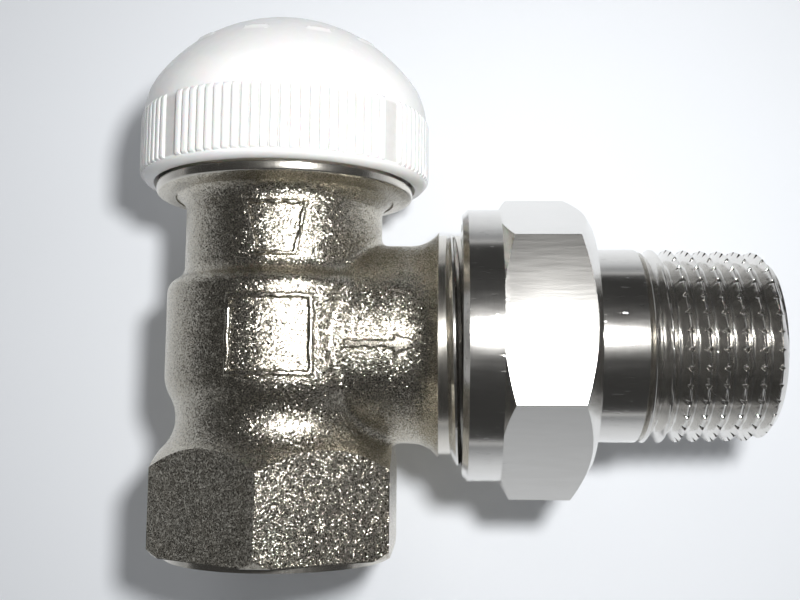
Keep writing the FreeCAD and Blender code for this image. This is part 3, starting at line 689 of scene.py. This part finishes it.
def stage_piece(name, mesh, material):
    thing = bpy.data.objects.new(name, mesh)
    bpy.context.scene.collection.objects.link(thing)
    mesh.materials.append(material)
    thing.visible_diffuse = False
    thing.visible_shadow = False
    return thing


def sheet(name, corners, material):
    mesh = bpy.data.meshes.new(name)
    mesh.from_pydata(corners, [], [(0, 1, 2, 3)])
    return stage_piece(name, mesh, material)


def paper(name, colour, mirrored=None):
    """Paper that shows its front only, so views from behind it or below it still show the object."""
    s = Shader(name)
    s.set(Base_Color=s.blend(s.noise(0.02), colour, tuple(c * 0.985 for c in colour)), Roughness=0.75,
          Specular_IOR_Level=0.2)
    if mirrored:
        in_metal = s.node("ShaderNodeLightPath").outputs["Is Glossy Ray"]
        s.set(Emission_Color=colour, Emission_Strength=s.math("MULTIPLY", in_metal, mirrored))
    pick = s.node("ShaderNodeMixShader")
    s.put(s.node("ShaderNodeNewGeometry").outputs["Backfacing"], pick.inputs[0])
    s.put(s.surface.outputs[0], pick.inputs[1])
    s.put(s.node("ShaderNodeBsdfTransparent").outputs[0], pick.inputs[2])
    s.put(pick.outputs[0], s.output.inputs["Surface"])
    return s.material


def dark_cloth():
    s = Shader("flag_cloth")
    s.set(Base_Color=(0.05, 0.05, 0.05), Roughness=0.9, Emission_Color=(1.0, 0.99, 0.96), Emission_Strength=0.022)
    return s.material


def flag():
    """A dark screen in front of the object, for the metal to mirror: half a cylinder, open to the back."""
    radius, count, low, high = 0.42, 16, -0.30, 0.5
    mesh = bmesh.new()
    columns = []
    for k in range(count + 1):
        angle = math.pi * (1 + k / count)
        x, y = 0.02 + radius * math.cos(angle), radius * math.sin(angle) * 0.9 - 0.02
        columns.append((mesh.verts.new((x, y, low)), mesh.verts.new((x, y, high))))
    for (a, b), (c, d) in zip(columns, columns[1:]):
        mesh.faces.new((a, c, d, b))
    mesh.faces.new([above for _, above in columns])
    mesh.faces.new([under for under, _ in reversed(columns)])
    data = bpy.data.meshes.new("flag")
    mesh.to_mesh(data)
    mesh.free()
    stage_piece("flag", data, dark_cloth()).visible_camera = False


def lamp(name, place, aim, size, power, glossy=True):
    data = bpy.data.lights.new(name, "AREA")
    data.shape = "DISK"
    data.size = size
    data.energy = power
    thing = bpy.data.objects.new(name, data)
    thing.location = place
    thing.rotation_euler = (Vector(aim) - Vector(place)).to_track_quat("-Z", "Y").to_euler()
    thing.visible_glossy = glossy
    bpy.context.scene.collection.objects.link(thing)


def room():
    """A pale room: dim as a light, pale to the camera and in what the metal mirrors."""
    world = bpy.data.worlds.new("white_room")
    bpy.context.scene.world = world
    world.use_nodes = True
    w = Tree(world.node_tree)
    ray = w.node("ShaderNodeLightPath").outputs
    seen = w.math("MAXIMUM", ray["Is Camera Ray"], ray["Is Glossy Ray"])
    seen = w.math("MAXIMUM", seen, ray["Is Transmission Ray"])
    sky = world.node_tree.nodes["Background"]
    sky.inputs["Color"].default_value = (0.975, 0.985, 1.0, 1)
    level = w.ramp(seen, ROOM_LIT, ROOM_SEEN)
    w.put(w.math("MULTIPLY_ADD", ray["Is Glossy Ray"], -ROOM_MIRRORED_LESS, level), sky.inputs["Strength"])


def camera():
    """The photograph's viewing angle, for a frame of 800 by 600."""
    place = (0.01816, -0.10704, 0.01646)
    yaw, pitch, roll = 0.0477, 0.1069, 0.0087     # radians
    right = Vector((math.cos(yaw), math.sin(yaw), 0))
    ahead = Vector((-math.sin(yaw) * math.cos(pitch), math.cos(yaw) * math.cos(pitch), math.sin(pitch)))
    up = right.cross(ahead)
    across = right * math.cos(roll) + up * math.sin(roll)
    above = up * math.cos(roll) - right * math.sin(roll)
    data = bpy.data.cameras.new("camera")
    data.sensor_width = 36.0
    data.lens = 43.4385
    data.clip_start = 0.005
    data.clip_end = 5
    thing = bpy.data.objects.new("camera", data)
    thing.matrix_world = Matrix.Translation(place) @ Matrix((across, above, -ahead)).transposed().to_4x4()
    bpy.context.scene.collection.objects.link(thing)
    bpy.context.scene.camera = thing


sheet("paper_behind", [(x, WALL_Y, z) for x, z in ((-PAPER_HALF, -PAPER_HALF), (PAPER_HALF, -PAPER_HALF),
                                                   (PAPER_HALF, PAPER_HALF), (-PAPER_HALF, PAPER_HALF))],
      paper("paper", (0.84, 0.865, 0.90), mirrored=PAPER_MIRRORED))
sheet("floor", [(x, y, FLOOR_Z) for x, y in ((-PAPER_HALF, -PAPER_HALF), (PAPER_HALF, -PAPER_HALF),
                                             (PAPER_HALF, PAPER_HALF), (-PAPER_HALF, PAPER_HALF))],
      paper("floor_paper", (0.86, 0.87, 0.88))).visible_glossy = False
flag()
lamp("key", (0.040, -0.118, 0.038), (0.014, 0, 0.027), 0.016, 0.170)
lamp("soft_front", (-0.10, -0.42, 0.34), (0.01, 0, 0.03), 0.30, 0.17, glossy=False)
lamp("soft_side", (0.42, -0.20, 0.22), (0.01, 0, 0.03), 0.26, 0.16, glossy=False)
lamp("soft_back", (-0.10, 0.48, 0.08), (0.01, 0, 0.03), 0.50, 1.2)
room()
camera()
bpy.context.scene.view_settings.view_transform = "Standard"
